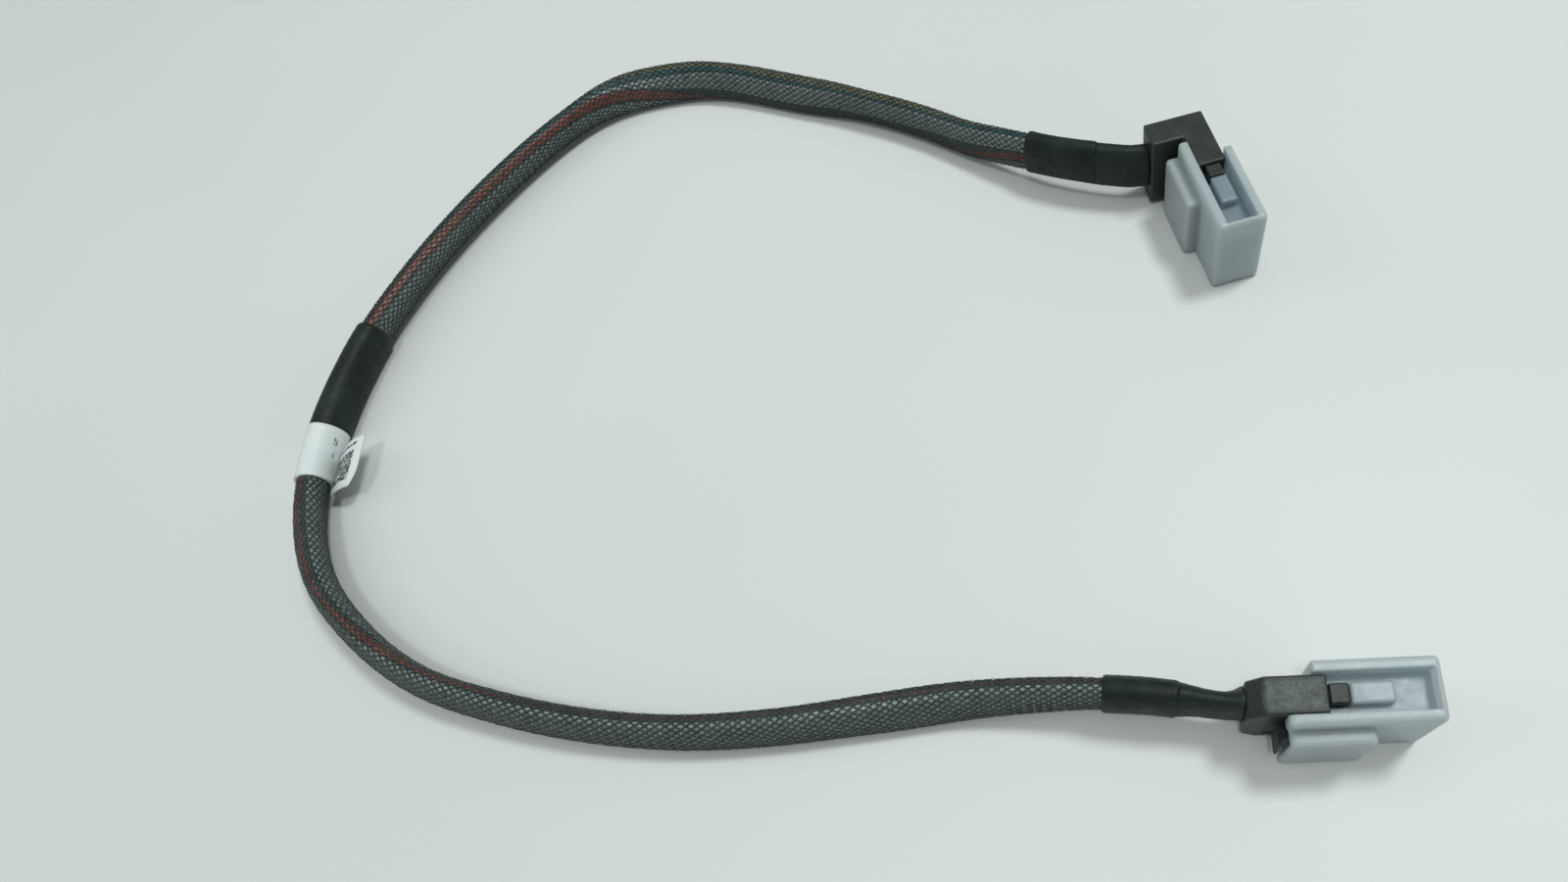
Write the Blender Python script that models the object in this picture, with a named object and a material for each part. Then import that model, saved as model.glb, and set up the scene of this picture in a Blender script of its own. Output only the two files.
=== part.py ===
"""Internal mini SAS cable: a braided cable between a straight and a right-angled plug, each under a dust cap.

Metres, +Z up, table at z = 0. Both plugs stand on edge, so the wide faces of plugs, caps and cable are upright.
A plug is modelled in its own frame: +X is the way it mates, the shoulder of its shell is at x = 0, the middle
of its thickness is y = 0, and its latch is on the -Y side.
"""
import math

import bmesh
import bpy
from mathutils import Euler, Matrix, Vector
from mathutils.geometry import interpolate_bezier

MM = 0.001

# Clearances
SEAT_GAP = 0.3 * MM
OVERRUN = 1.0 * MM

# Plug shells
SHELL_THICKNESS = 7.5 * MM
SHELL_HEIGHT = 20.1 * MM
SHELL_EDGE = 0.45 * MM
STRAIGHT_LENGTH = 15.2 * MM
STRAIGHT_TAPER_LENGTH = 3.1 * MM
STRAIGHT_TAPER_DROP = 3.4 * MM
ARM_WIDTH = 7.4 * MM
ARM_REACH = 8.4 * MM
ARM_BEYOND_TAIL = 0.8 * MM
PANEL_RECESS = 0.25 * MM
PANEL_MARGIN = 1.1 * MM

# Tongue frame and paddle card
TONGUE_LENGTH = 4.0 * MM
TONGUE_THICKNESS = 3.9 * MM
TONGUE_INSET = 0.4 * MM
ROOT_LENGTH = 6.0 * MM
ROOT_THICKNESS = 3.5 * MM
ROOT_BELOW_TOP = 1.25 * MM
CARD_THICKNESS = 1.0 * MM
CARD_INSIDE_ROOT = 1.0 * MM
CARD_REACH = 11.0 * MM
CARD_INSIDE = 9.0 * MM
CARD_CHAMFER = 0.3 * MM

# Contact pads
PADS_PER_SIDE = 18
PAD_ROW_MARGIN = 1.0 * MM
PAD_WIDTH = 0.5 * MM
PAD_LENGTH = 4.6 * MM
PAD_THICKNESS = 0.15 * MM
PAD_END_MARGIN = 0.8 * MM

# Latch spring
LATCH_GAUGE = 0.6 * MM
LATCH_STANDOFF = 1.2 * MM
LATCH_ABOVE_FOOT = 1.65 * MM
LATCH_BELOW_TOP = 4.45 * MM
LATCH_FINGER = 4.0 * MM
LATCH_FORWARD = 7.7 * MM
LATCH_ROOT_FRONT = 0.7 * MM
LATCH_ROOT_LENGTH = 1.6 * MM
LATCH_TAIL_BEYOND_CAP = 1.4 * MM
LATCH_TAIL_HEIGHT = 7.6 * MM
LATCH_FIN_RISE = 3.0 * MM
HOOK_RISE = 1.3 * MM
HOOK_LENGTH = 1.6 * MM

# Dust caps
CAP_WALL = 2.3 * MM
CAP_FLOOR = 0.9 * MM
CAP_RIM_ABOVE_SHELL = 1.1 * MM
CAP_FRONT_COVER = 8.1 * MM
CAP_BACK_COVER = 2.6 * MM
CAP_BEYOND_SHOULDER = 21.7 * MM
CAP_END_WALL = 1.1 * MM
CAP_TROUGH_DEPTH = 4.2 * MM
CAP_EDGE = 1.1 * MM
CAP_LEDGE_LENGTH = 12.7 * MM
CAP_LEDGE_WIDTH = 4.2 * MM
CAP_LEDGE_BELOW_RIM = 1.6 * MM
POCKET_WALL = 1.0 * MM
POCKET_INSET = 0.3 * MM
POCKET_ABOVE_LATCH = 0.4 * MM
POCKET_BESIDE_HOOKS = 1.75 * MM
CORE_SKIN = 1.1 * MM
CORE_HOLLOW_WIDTH = 3.2 * MM

# Where the plugs stand
STRAIGHT_PLACE = Vector((2.5 * MM, -71.5 * MM, 0.0))
STRAIGHT_TURN = 0.0
ANGLED_PLACE = Vector((-7.8 * MM, 63.1 * MM, 0.0))
ANGLED_TURN = math.radians(-74.0)

# Cable
CABLE_WIDTH = 7.2 * MM
CABLE_HEIGHT = 8.8 * MM
TABLE_GAP = 0.1 * MM
WRAP_WALL = 0.4 * MM
FLAG_REACH = 9.0 * MM
FLAG_LENGTH = 12.4 * MM
FLAG_THICKNESS = 0.5 * MM
FLAG_RISE = math.radians(16.0)
LABEL_SIDES = 20

# Length, width and height of each sleeve, and of the label, along the cable from the angled plug
ANGLED_SLEEVE = (12.2 * MM, 6.2 * MM, 13.4 * MM)
ANGLED_COLLAR = (19.5 * MM, 6.6 * MM, 12.6 * MM)
MIDDLE_SLEEVE = (28.0 * MM, 7.0 * MM, 8.2 * MM)
LABEL_LENGTH = 14.5 * MM
STRAIGHT_COLLAR = (15.0 * MM, 6.8 * MM, 11.4 * MM)
STRAIGHT_SLEEVE = (12.4 * MM, 5.6 * MM, 12.8 * MM)
MIDDLE_SLEEVE_START = 257.4 * MM

# Heights of the cable's middle line: at the plugs, and where it lies on the table
PLUG_LINE = CAP_FLOOR + SEAT_GAP + SHELL_HEIGHT / 2
TABLE_LINE = CABLE_HEIGHT / 2 + TABLE_GAP

# The cable's route between the plugs, chosen by hand, in millimetres
ROUTE_MM = [
    (-24.3, 73.1), (-27.7, 72.9), (-31.2, 73.4), (-37.0, 74.6), (-48.9, 78.6), (-66.5, 87.9), (-84.0, 98.3),
    (-102.0, 106.5), (-121.0, 112.9), (-140.0, 118.8), (-154.8, 120.8), (-169.4, 118.0), (-181.8, 110.5),
    (-192.2, 99.2), (-203.1, 82.5), (-212.3, 64.7), (-219.5, 46.1), (-224.3, 26.7), (-226.1, 6.8),
    (-224.3, -13.1), (-216.4, -31.4), (-202.8, -45.9), (-186.3, -57.0), (-167.4, -63.7), (-148.0, -68.2),
    (-128.1, -70.5), (-108.1, -70.2), (-88.2, -68.3), (-68.3, -66.4), (-48.3, -66.7), (-34.0, -68.0),
    (-23.6, -69.6), (-18.0, -70.7), (-13.1, -71.4),
]
LIFT_MM = 58.0
LIFT_START_MM = 14.0
FINE_STEPS = 24
TUBE_STEP = 14.0 * MM
SQUARE_END = 1.0 * MM


def clear_scene():
    for item in list(bpy.data.objects):
        bpy.data.objects.remove(item, do_unlink=True)


def material(name, colour, roughness, metallic=0.0, alpha=1.0):
    made = bpy.data.materials.new(name)
    made.use_nodes = True
    shader = made.node_tree.nodes["Principled BSDF"]
    shader.inputs["Base Color"].default_value = (*colour, 1.0)
    shader.inputs["Roughness"].default_value = roughness
    shader.inputs["Metallic"].default_value = metallic
    shader.inputs["Alpha"].default_value = alpha
    return made


def link(name, mesh, finish=None):
    made = bpy.data.objects.new(name, mesh)
    bpy.context.scene.collection.objects.link(made)
    if finish is not None:
        mesh.materials.append(finish)
    return made


def prism(name, outline, low, high, axis="Z"):
    """A flat outline carried from low to high along an axis: X carries (y, z), Y carries (x, z), Z carries (x, y)."""
    place = {
        "X": lambda a, b, c: (c, a, b),
        "Y": lambda a, b, c: (a, c, b),
        "Z": lambda a, b, c: (a, b, c),
    }[axis]
    work = bmesh.new()
    ends = [[work.verts.new(place(a, b, c)) for a, b in outline] for c in (low, high)]
    work.faces.new(ends[0])
    work.faces.new(ends[1])
    count = len(outline)
    for i in range(count):
        j = (i + 1) % count
        work.faces.new((ends[0][i], ends[0][j], ends[1][j], ends[1][i]))
    bmesh.ops.recalc_face_normals(work, faces=work.faces)
    mesh = bpy.data.meshes.new(name)
    work.to_mesh(mesh)
    work.free()
    return link(name, mesh)


def box(name, x, y, z):
    return prism(name, [(x[0], y[0]), (x[1], y[0]), (x[1], y[1]), (x[0], y[1])], z[0], z[1])


def soften(item, width, segments=2):
    bevel = item.modifiers.new("edges", "BEVEL")
    bevel.width = width
    bevel.segments = segments
    bevel.limit_method = "ANGLE"
    bevel.angle_limit = math.radians(40)
    return item


def combine(item, other, operation):
    other.hide_render = True
    other.display_type = "WIRE"
    other.parent = item.parent
    step = item.modifiers.new(other.name, "BOOLEAN")
    step.operation = operation
    step.object = other
    step.solver = "EXACT"


def add(item, *others):
    for other in others:
        combine(item, other, "UNION")


def cut(item, *others):
    for other in others:
        combine(item, other, "DIFFERENCE")


def finish_piece(item, surface):
    item.data.materials.clear()
    item.data.materials.append(surface)


def place_pieces(pieces, where, turn):
    """Stands a plug's pieces, with their cutters, at its place on the table."""
    holder = bpy.data.objects.new("plug_place", None)
    bpy.context.scene.collection.objects.link(holder)
    holder.location = where
    holder.rotation_euler = Euler((0.0, 0.0, turn))
    for piece in pieces:
        piece.parent = holder


# Heights shared by the pieces of a plug
SHELL_LOW = CAP_FLOOR + SEAT_GAP
SHELL_TOP = SHELL_LOW + SHELL_HEIGHT
MIDDLE = SHELL_LOW + SHELL_HEIGHT / 2
LATCH_LOW = SHELL_LOW + LATCH_ABOVE_FOOT
LATCH_TOP = SHELL_TOP - LATCH_BELOW_TOP

# Other sizes that follow from the ones above
HALF_SHELL = SHELL_THICKNESS / 2
ROOT_HEIGHT = SHELL_HEIGHT - 2 * ROOT_BELOW_TOP
CARD_HEIGHT = ROOT_HEIGHT - 2 * CARD_INSIDE_ROOT
PAD_PITCH = (CARD_HEIGHT - 2 * PAD_ROW_MARGIN) / (PADS_PER_SIDE - 1)
LATCH_TAIL_REACH = CAP_FRONT_COVER + LATCH_TAIL_BEYOND_CAP
LEG_LENGTH = LATCH_TAIL_REACH + ARM_BEYOND_TAIL + ARM_WIDTH


def shell_sockets(prefix):
    """Cutters for the front sockets that hold the tongue's root and the back of the card."""
    root_y = ROOT_THICKNESS / 2 + SEAT_GAP
    root_z = ROOT_HEIGHT / 2 + SEAT_GAP
    card_y = CARD_THICKNESS / 2 + SEAT_GAP
    card_z = CARD_HEIGHT / 2 + SEAT_GAP
    root = box(prefix + "_root_socket", (-ROOT_LENGTH - SEAT_GAP, OVERRUN), (-root_y, root_y),
               (MIDDLE - root_z, MIDDLE + root_z))
    card = box(prefix + "_card_socket", (-CARD_INSIDE - SEAT_GAP, OVERRUN), (-card_y, card_y),
               (MIDDLE - card_z, MIDDLE + card_z))
    return [root, card]


def straight_shell(prefix, plastic):
    end = -STRAIGHT_LENGTH
    shoulder = end + STRAIGHT_TAPER_LENGTH
    low, top, drop = SHELL_LOW, SHELL_TOP, STRAIGHT_TAPER_DROP
    outline = [(0, low), (0, top), (shoulder, top), (end, top - drop), (end, low + drop), (shoulder, low)]
    shell = soften(prism(prefix + "_shell", outline, -HALF_SHELL, HALF_SHELL, "Y"), SHELL_EDGE)
    cutters = shell_sockets(prefix)
    margin = PANEL_MARGIN
    for side, name in ((1, "_back_panel"), (-1, "_front_panel")):
        depths = sorted((side * (HALF_SHELL - PANEL_RECESS), side * (HALF_SHELL + OVERRUN)))
        panel = box(prefix + name, (shoulder + margin, -2 * margin), depths, (low + 2 * margin, top - 2 * margin))
        cutters.append(panel)
    cut(shell, *cutters)
    finish_piece(shell, plastic)
    return [shell] + cutters


def angled_shell(prefix, plastic):
    """An L seen from above: the leg runs to the shoulder and the arm reaches out to the latch side."""
    back = -LEG_LENGTH
    inner = back + ARM_WIDTH
    arm_end = -HALF_SHELL - ARM_REACH
    outline = [(0, HALF_SHELL), (back, HALF_SHELL), (back, arm_end), (inner, arm_end),
               (inner, -HALF_SHELL), (0, -HALF_SHELL)]
    shell = soften(prism(prefix + "_shell", outline, SHELL_LOW, SHELL_TOP), SHELL_EDGE)
    cutters = shell_sockets(prefix)
    margin = PANEL_MARGIN
    panel = box(prefix + "_side_panel", (back + 2 * margin, -2 * margin),
                (HALF_SHELL - PANEL_RECESS, HALF_SHELL + OVERRUN), (SHELL_LOW + 2 * margin, SHELL_TOP - 2 * margin))
    cutters.append(panel)
    cut(shell, *cutters)
    finish_piece(shell, plastic)
    return [shell] + cutters


def tongue(prefix, plastic):
    """The frame round the card's root: its front block shows at the shoulder, its root sits in the shell."""
    half = TONGUE_THICKNESS / 2
    frame = soften(box(prefix + "_tongue", (SEAT_GAP, TONGUE_LENGTH), (-half, half),
                       (SHELL_LOW + TONGUE_INSET, SHELL_TOP - TONGUE_INSET)), SHELL_EDGE / 2, 1)
    root_half = ROOT_THICKNESS / 2
    root = box(prefix + "_tongue_root", (-ROOT_LENGTH, SEAT_GAP + OVERRUN), (-root_half, root_half),
               (MIDDLE - ROOT_HEIGHT / 2, MIDDLE + ROOT_HEIGHT / 2))
    slot_y = CARD_THICKNESS / 2 + SEAT_GAP
    slot_z = CARD_HEIGHT / 2 + SEAT_GAP
    slot = box(prefix + "_tongue_slot", (-ROOT_LENGTH - OVERRUN, TONGUE_LENGTH + OVERRUN), (-slot_y, slot_y),
               (MIDDLE - slot_z, MIDDLE + slot_z))
    add(frame, root)
    cut(frame, slot)
    finish_piece(frame, plastic)
    return [frame, root, slot]


def pad_comb(prefix):
    """The pads of both faces as one toothed bar, whose gaps lie inside the card."""
    face = CARD_THICKNESS / 2 + PAD_THICKNESS
    inside = CARD_THICKNESS / 4
    first = MIDDLE - PAD_PITCH * (PADS_PER_SIDE - 1) / 2
    back = []
    for i in range(PADS_PER_SIDE):
        low = first + i * PAD_PITCH - PAD_WIDTH / 2
        top = low + PAD_WIDTH
        back += [(inside, low), (face, low), (face, top), (inside, top)]
    front = [(-y, z) for y, z in reversed(back)]
    stop = CARD_REACH - PAD_END_MARGIN
    return prism(prefix + "_pads", back + front, stop - PAD_LENGTH, stop, "X")


def paddle_card(prefix, board):
    """The card with its gold pads standing a little proud of both faces."""
    half = CARD_THICKNESS / 2
    tip = CARD_REACH
    outline = [(-CARD_INSIDE, -half), (tip - CARD_CHAMFER, -half), (tip, -half + CARD_CHAMFER),
               (tip, half - CARD_CHAMFER), (tip - CARD_CHAMFER, half), (-CARD_INSIDE, half)]
    card = prism(prefix + "_paddle_card", outline, MIDDLE - CARD_HEIGHT / 2, MIDDLE + CARD_HEIGHT / 2)
    pads = pad_comb(prefix)
    add(card, pads)
    finish_piece(card, board)
    return [card, pads]


def latch(prefix, metal):
    """The latch spring: a root seated on the shell, two hooked fingers forward and a press tail behind.

    It rocks on the middle of its root, where its origin is.
    """
    inner = -(HALF_SHELL + LATCH_STANDOFF)
    outer = inner - LATCH_GAUGE
    low, top = LATCH_LOW, LATCH_TOP
    root_front = -LATCH_ROOT_FRONT
    root_back = root_front - LATCH_ROOT_LENGTH
    seat = -(HALF_SHELL + SEAT_GAP)
    spring = box(prefix + "_latch_spring", (root_back, root_front), (outer, seat), (low, top))
    hook_back = LATCH_FORWARD - HOOK_LENGTH
    finger = [(root_front - LATCH_GAUGE, inner), (root_front - LATCH_GAUGE, outer), (hook_back, outer),
              (hook_back, outer - HOOK_RISE), (LATCH_FORWARD, outer), (LATCH_FORWARD, inner)]
    lower = prism(prefix + "_lower_finger", finger, low, low + LATCH_FINGER)
    upper = prism(prefix + "_upper_finger", finger, top - LATCH_FINGER, top)
    fin = -LATCH_TAIL_REACH
    tail_outline = [(root_back + LATCH_GAUGE, inner), (fin, inner), (fin, outer - LATCH_FIN_RISE),
                    (fin + LATCH_GAUGE, outer - LATCH_FIN_RISE), (fin + 1.5 * LATCH_GAUGE, outer),
                    (root_back + LATCH_GAUGE, outer)]
    tail_low = MIDDLE - LATCH_TAIL_HEIGHT / 2
    tail = prism(prefix + "_press_tail", tail_outline, tail_low, tail_low + LATCH_TAIL_HEIGHT)
    add(spring, lower, upper, tail)
    pivot = Vector(((root_front + root_back) / 2, seat, 0.0))
    spring.data.transform(Matrix.Translation(-pivot))
    spring.location = pivot
    finish_piece(spring, metal)
    return [spring, lower, upper, tail]


def cap(prefix, milky):
    """The dust cap: two rims beside an open trough, a core round the tongue and a pocket over the latch."""
    half_trough = HALF_SHELL + SEAT_GAP
    half = half_trough + CAP_WALL
    rim = SHELL_TOP + CAP_RIM_ABOVE_SHELL
    floor = rim - CAP_TROUGH_DEPTH
    open_end = -CAP_FRONT_COVER
    end = CAP_BEYOND_SHOULDER
    trough_end = end - CAP_END_WALL
    body = soften(box(prefix + "_dust_cap", (open_end, end), (-half, half), (0, rim)), CAP_EDGE, 3)

    room_end = LATCH_FORWARD + SEAT_GAP
    room_side = -HALF_SHELL - LATCH_STANDOFF - LATCH_GAUGE - HOOK_RISE - POCKET_BESIDE_HOOKS
    room_top = LATCH_TOP + POCKET_ABOVE_LATCH
    pocket = soften(box(prefix + "_pocket_outside", (open_end + POCKET_INSET, room_end + POCKET_WALL),
                        (room_side - POCKET_WALL, 0), (POCKET_INSET, room_top + POCKET_WALL)), CAP_EDGE, 3)
    tongue_y = TONGUE_THICKNESS / 2 + SEAT_GAP
    tongue_low = SHELL_LOW + TONGUE_INSET - SEAT_GAP
    ledge_top = rim - CAP_LEDGE_BELOW_RIM
    ledge_y = CAP_LEDGE_WIDTH / 2
    trough = box(prefix + "_trough", (open_end - OVERRUN, trough_end), (-half_trough, half_trough),
                 (floor, rim + OVERRUN))
    ledge = soften(box(prefix + "_ledge", (TONGUE_LENGTH + SEAT_GAP, CAP_LEDGE_LENGTH), (-ledge_y, ledge_y),
                       (floor - OVERRUN, ledge_top)), SHELL_EDGE, 2)
    shell_slot = box(prefix + "_shell_slot", (open_end - OVERRUN, SEAT_GAP), (-half_trough, half_trough),
                     (CAP_FLOOR, rim + OVERRUN))
    back_opening = box(prefix + "_back_opening", (open_end - OVERRUN, -CAP_BACK_COVER), (0, half + OVERRUN),
                       (-OVERRUN, rim + OVERRUN))
    tongue_slot = box(prefix + "_tongue_well", (0, TONGUE_LENGTH + SEAT_GAP), (-tongue_y, tongue_y),
                      (tongue_low, rim + OVERRUN))
    card_y = CARD_THICKNESS / 2 + PAD_THICKNESS + SEAT_GAP
    card_z = CARD_HEIGHT / 2 + SEAT_GAP
    card_well = box(prefix + "_card_well", (0, CARD_REACH + SEAT_GAP), (-card_y, card_y),
                    (MIDDLE - card_z, MIDDLE + card_z))
    hollow_y = CORE_HOLLOW_WIDTH / 2
    hollow = box(prefix + "_core_hollow", (CARD_REACH, trough_end - CORE_SKIN), (-hollow_y, hollow_y),
                 (MIDDLE - card_z, floor - CORE_SKIN))
    latch_room = box(prefix + "_latch_room", (open_end - OVERRUN, room_end), (room_side, -HALF_SHELL),
                     (POCKET_WALL, room_top))
    add(body, pocket)
    cut(body, trough)
    add(body, ledge)
    cut(body, shell_slot, back_opening, tongue_slot, card_well, hollow, latch_room)
    finish_piece(body, milky)
    return [body, pocket, ledge, trough, shell_slot, back_opening, tongue_slot, card_well, hollow, latch_room]


def plug(prefix, shell_maker, where, turn, finishes):
    pieces = shell_maker(prefix, finishes["shell"])
    pieces += tongue(prefix, finishes["tongue"])
    pieces += paddle_card(prefix, finishes["board"])
    pieces += latch(prefix, finishes["latch"])
    pieces += cap(prefix, finishes["cap"])
    place_pieces(pieces, where, turn)


def smooth_route():
    """A smooth line through the route's points, at even small steps, in metres and without its height."""
    points = [Vector((x * MM, y * MM, 0.0)) for x, y in ROUTE_MM]
    slopes = []
    for i, point in enumerate(points):
        before = points[max(i - 1, 0)]
        after = points[min(i + 1, len(points) - 1)]
        slopes.append((after - before).normalized())
    line = []
    for i in range(len(points) - 1):
        reach = (points[i + 1] - points[i]).length / 3
        handles = (points[i] + slopes[i] * reach, points[i + 1] - slopes[i + 1] * reach)
        stretch = interpolate_bezier(points[i], handles[0], handles[1], points[i + 1], FINE_STEPS + 1)
        line += stretch if i == 0 else stretch[1:]
    return line


def arc_lengths(line):
    lengths = [0.0]
    for a, b in zip(line, line[1:]):
        lengths.append(lengths[-1] + (b - a).length)
    return lengths


def line_height(along, total):
    """The middle line's height: level with the plugs at the ends, easing down to the table between them."""
    from_end = (min(along, total - along) / MM - LIFT_START_MM) / LIFT_MM
    share = min(max(from_end, 0.0), 1.0)
    ease = 0.5 + 0.5 * math.cos(math.pi * share)
    return TABLE_LINE + (PLUG_LINE - TABLE_LINE) * ease


class Route:
    def __init__(self):
        self.line = smooth_route()
        self.lengths = arc_lengths(self.line)
        self.total = self.lengths[-1]

    def at(self, along):
        i = 0
        while i < len(self.lengths) - 2 and self.lengths[i + 1] < along:
            i += 1
        share = (along - self.lengths[i]) / (self.lengths[i + 1] - self.lengths[i])
        point = self.line[i].lerp(self.line[i + 1], share)
        return Vector((point.x, point.y, line_height(along, self.total)))


def stations(start, stop):
    """Even places along a stretch, with one more close to each end, so that its end faces stand square."""
    inner = (start + SQUARE_END, stop - SQUARE_END)
    count = max(1, round((inner[1] - inner[0]) / TUBE_STEP))
    steps = [inner[0] + (inner[1] - inner[0]) * i / count for i in range(count + 1)]
    return [start] + steps + [stop]


def tube(name, route, start, stop, width, height, surface):
    """An oval tube along a stretch of the route, as a bevelled curve stretched upright."""
    stretch = height / width
    places = stations(start, stop)
    curve = bpy.data.curves.new(name, "CURVE")
    curve.dimensions = "3D"
    curve.bevel_depth = width / 2
    curve.bevel_resolution = 3
    curve.use_fill_caps = True
    spline = curve.splines.new("POLY")
    spline.points.add(len(places) - 1)
    for spot, along in zip(spline.points, places):
        point = route.at(along)
        spot.co = (point.x, point.y, point.z / stretch, 1.0)
    made = bpy.data.objects.new(name, curve)
    made.scale = (1.0, 1.0, stretch)
    curve.materials.append(surface)
    bpy.context.scene.collection.objects.link(made)
    return made


def label(name, route, start, stop, surface):
    """The stretch of cable inside the label, with the label's free end standing out of it as a flag."""
    sides = LABEL_SIDES
    width = CABLE_WIDTH + 2 * WRAP_WALL
    height = CABLE_HEIGHT + 2 * WRAP_WALL
    work = bmesh.new()
    rings = []
    for along in (start, (start + stop) / 2, stop):
        centre = route.at(along) + Vector((0, 0, WRAP_WALL))
        ahead = (route.at(along + MM) - route.at(along - MM)).normalized()
        side = ahead.cross(Vector((0, 0, 1))).normalized()
        ring = []
        for i in range(sides):
            angle = 2 * math.pi * i / sides
            ring.append(work.verts.new(centre + side * (math.cos(angle) * width / 2)
                                       + Vector((0, 0, math.sin(angle) * height / 2))))
        rings.append(ring)
    for a, b in zip(rings, rings[1:]):
        for i in range(sides):
            j = (i + 1) % sides
            work.faces.new((a[i], a[j], b[j], b[i]))
    work.faces.new(rings[0])
    work.faces.new(rings[-1])
    bmesh.ops.recalc_face_normals(work, faces=work.faces)
    mesh = bpy.data.meshes.new(name)
    work.to_mesh(mesh)
    work.free()
    wrap = link(name, mesh, surface)
    middle = route.at(stop - FLAG_LENGTH / 2)
    ahead = route.at(stop) - route.at(start)
    ahead.z = 0
    ahead.normalize()
    side = ahead.cross(Vector((0, 0, 1)))
    if side.x < 0:
        side = -side
    reach = width / 2 + FLAG_REACH
    thick = FLAG_THICKNESS / 2
    half = FLAG_LENGTH / 2
    outline = [(-half, -thick), (half, -thick), (half, thick), (-half, thick)]
    flag = prism(name + "_flag", outline, 0, reach)
    out = side * math.cos(FLAG_RISE) + Vector((0, 0, math.sin(FLAG_RISE)))
    turn = Matrix((ahead, out.cross(ahead), out)).transposed().to_4x4()
    flag.matrix_world = Matrix.Translation(middle) @ turn
    add(wrap, flag)
    return wrap


def cable(finishes):
    route = Route()
    total = route.total
    gap = SEAT_GAP
    marks = {}
    marks["angled_sleeve"] = (gap, ANGLED_SLEEVE[0])
    marks["angled_collar"] = (ANGLED_SLEEVE[0] + gap, ANGLED_SLEEVE[0] + ANGLED_COLLAR[0])
    braid_start = marks["angled_collar"][1] + gap
    marks["upper_braid"] = (braid_start, MIDDLE_SLEEVE_START)
    middle_end = MIDDLE_SLEEVE_START + MIDDLE_SLEEVE[0]
    marks["middle_sleeve"] = (MIDDLE_SLEEVE_START + gap, middle_end)
    straight_start = total - STRAIGHT_SLEEVE[0]
    collar_start = straight_start - STRAIGHT_COLLAR[0]
    label_start = middle_end + gap
    label_end = label_start + LABEL_LENGTH
    marks["lower_braid"] = (label_end + gap, collar_start - gap)
    marks["straight_collar"] = (collar_start, straight_start - gap)
    marks["straight_sleeve"] = (straight_start, total - gap)
    sizes = {
        "angled_sleeve": ANGLED_SLEEVE[1:],
        "angled_collar": ANGLED_COLLAR[1:],
        "upper_braid": (CABLE_WIDTH, CABLE_HEIGHT),
        "middle_sleeve": MIDDLE_SLEEVE[1:],
        "lower_braid": (CABLE_WIDTH, CABLE_HEIGHT),
        "straight_collar": STRAIGHT_COLLAR[1:],
        "straight_sleeve": STRAIGHT_SLEEVE[1:],
    }
    for name, (start, stop) in marks.items():
        surface = finishes["braid"] if "braid" in name else finishes["shrink"]
        tube(name, route, start, stop, *sizes[name], surface)
    label("label", route, label_start, label_end, finishes["label"])


def build():
    clear_scene()
    finishes = {
        "shell": material("moulded_black", (0.022, 0.024, 0.024), 0.5),
        "tongue": material("tongue_black", (0.03, 0.032, 0.032), 0.45),
        "board": material("card_green", (0.03, 0.11, 0.05), 0.45),
        "latch": material("latch_dark_steel", (0.035, 0.036, 0.036), 0.35, 0.6),
        "cap": material("milky_cap", (0.72, 0.78, 0.8), 0.45, 0.0, 0.6),
        "braid": material("braid_charcoal", (0.05, 0.05, 0.052), 0.6),
        "shrink": material("shrink_black", (0.02, 0.02, 0.021), 0.42),
        "label": material("label_white", (0.86, 0.87, 0.86), 0.5),
    }
    plug("straight", straight_shell, STRAIGHT_PLACE, STRAIGHT_TURN, finishes)
    plug("angled", angled_shell, ANGLED_PLACE, ANGLED_TURN, finishes)
    cable(finishes)


build()
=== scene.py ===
"""Mini SAS cable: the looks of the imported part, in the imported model's frame.

Sizes at the top are millimetres, and angles are degrees. The stage's places and lamps are metres. A place on the
cable is its distance along the route from the right-angled plug. An angle round the cable starts at the top of
its section and grows towards the inside of the loop.
"""
import math
from types import SimpleNamespace

import bpy
import numpy as np
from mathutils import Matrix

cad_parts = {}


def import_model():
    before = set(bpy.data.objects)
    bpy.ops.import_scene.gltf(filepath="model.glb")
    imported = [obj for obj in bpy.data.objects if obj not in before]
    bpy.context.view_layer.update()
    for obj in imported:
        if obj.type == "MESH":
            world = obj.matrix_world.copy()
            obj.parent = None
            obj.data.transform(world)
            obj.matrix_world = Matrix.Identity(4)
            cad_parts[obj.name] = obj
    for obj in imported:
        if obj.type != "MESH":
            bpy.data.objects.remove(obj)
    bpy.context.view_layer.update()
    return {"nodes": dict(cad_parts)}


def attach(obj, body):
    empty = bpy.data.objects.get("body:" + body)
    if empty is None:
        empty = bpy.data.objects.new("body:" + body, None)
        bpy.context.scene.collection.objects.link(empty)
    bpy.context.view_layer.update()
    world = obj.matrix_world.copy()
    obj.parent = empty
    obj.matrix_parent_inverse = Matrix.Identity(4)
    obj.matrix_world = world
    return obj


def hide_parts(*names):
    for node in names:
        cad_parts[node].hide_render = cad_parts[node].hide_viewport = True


MM = 0.001

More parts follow.
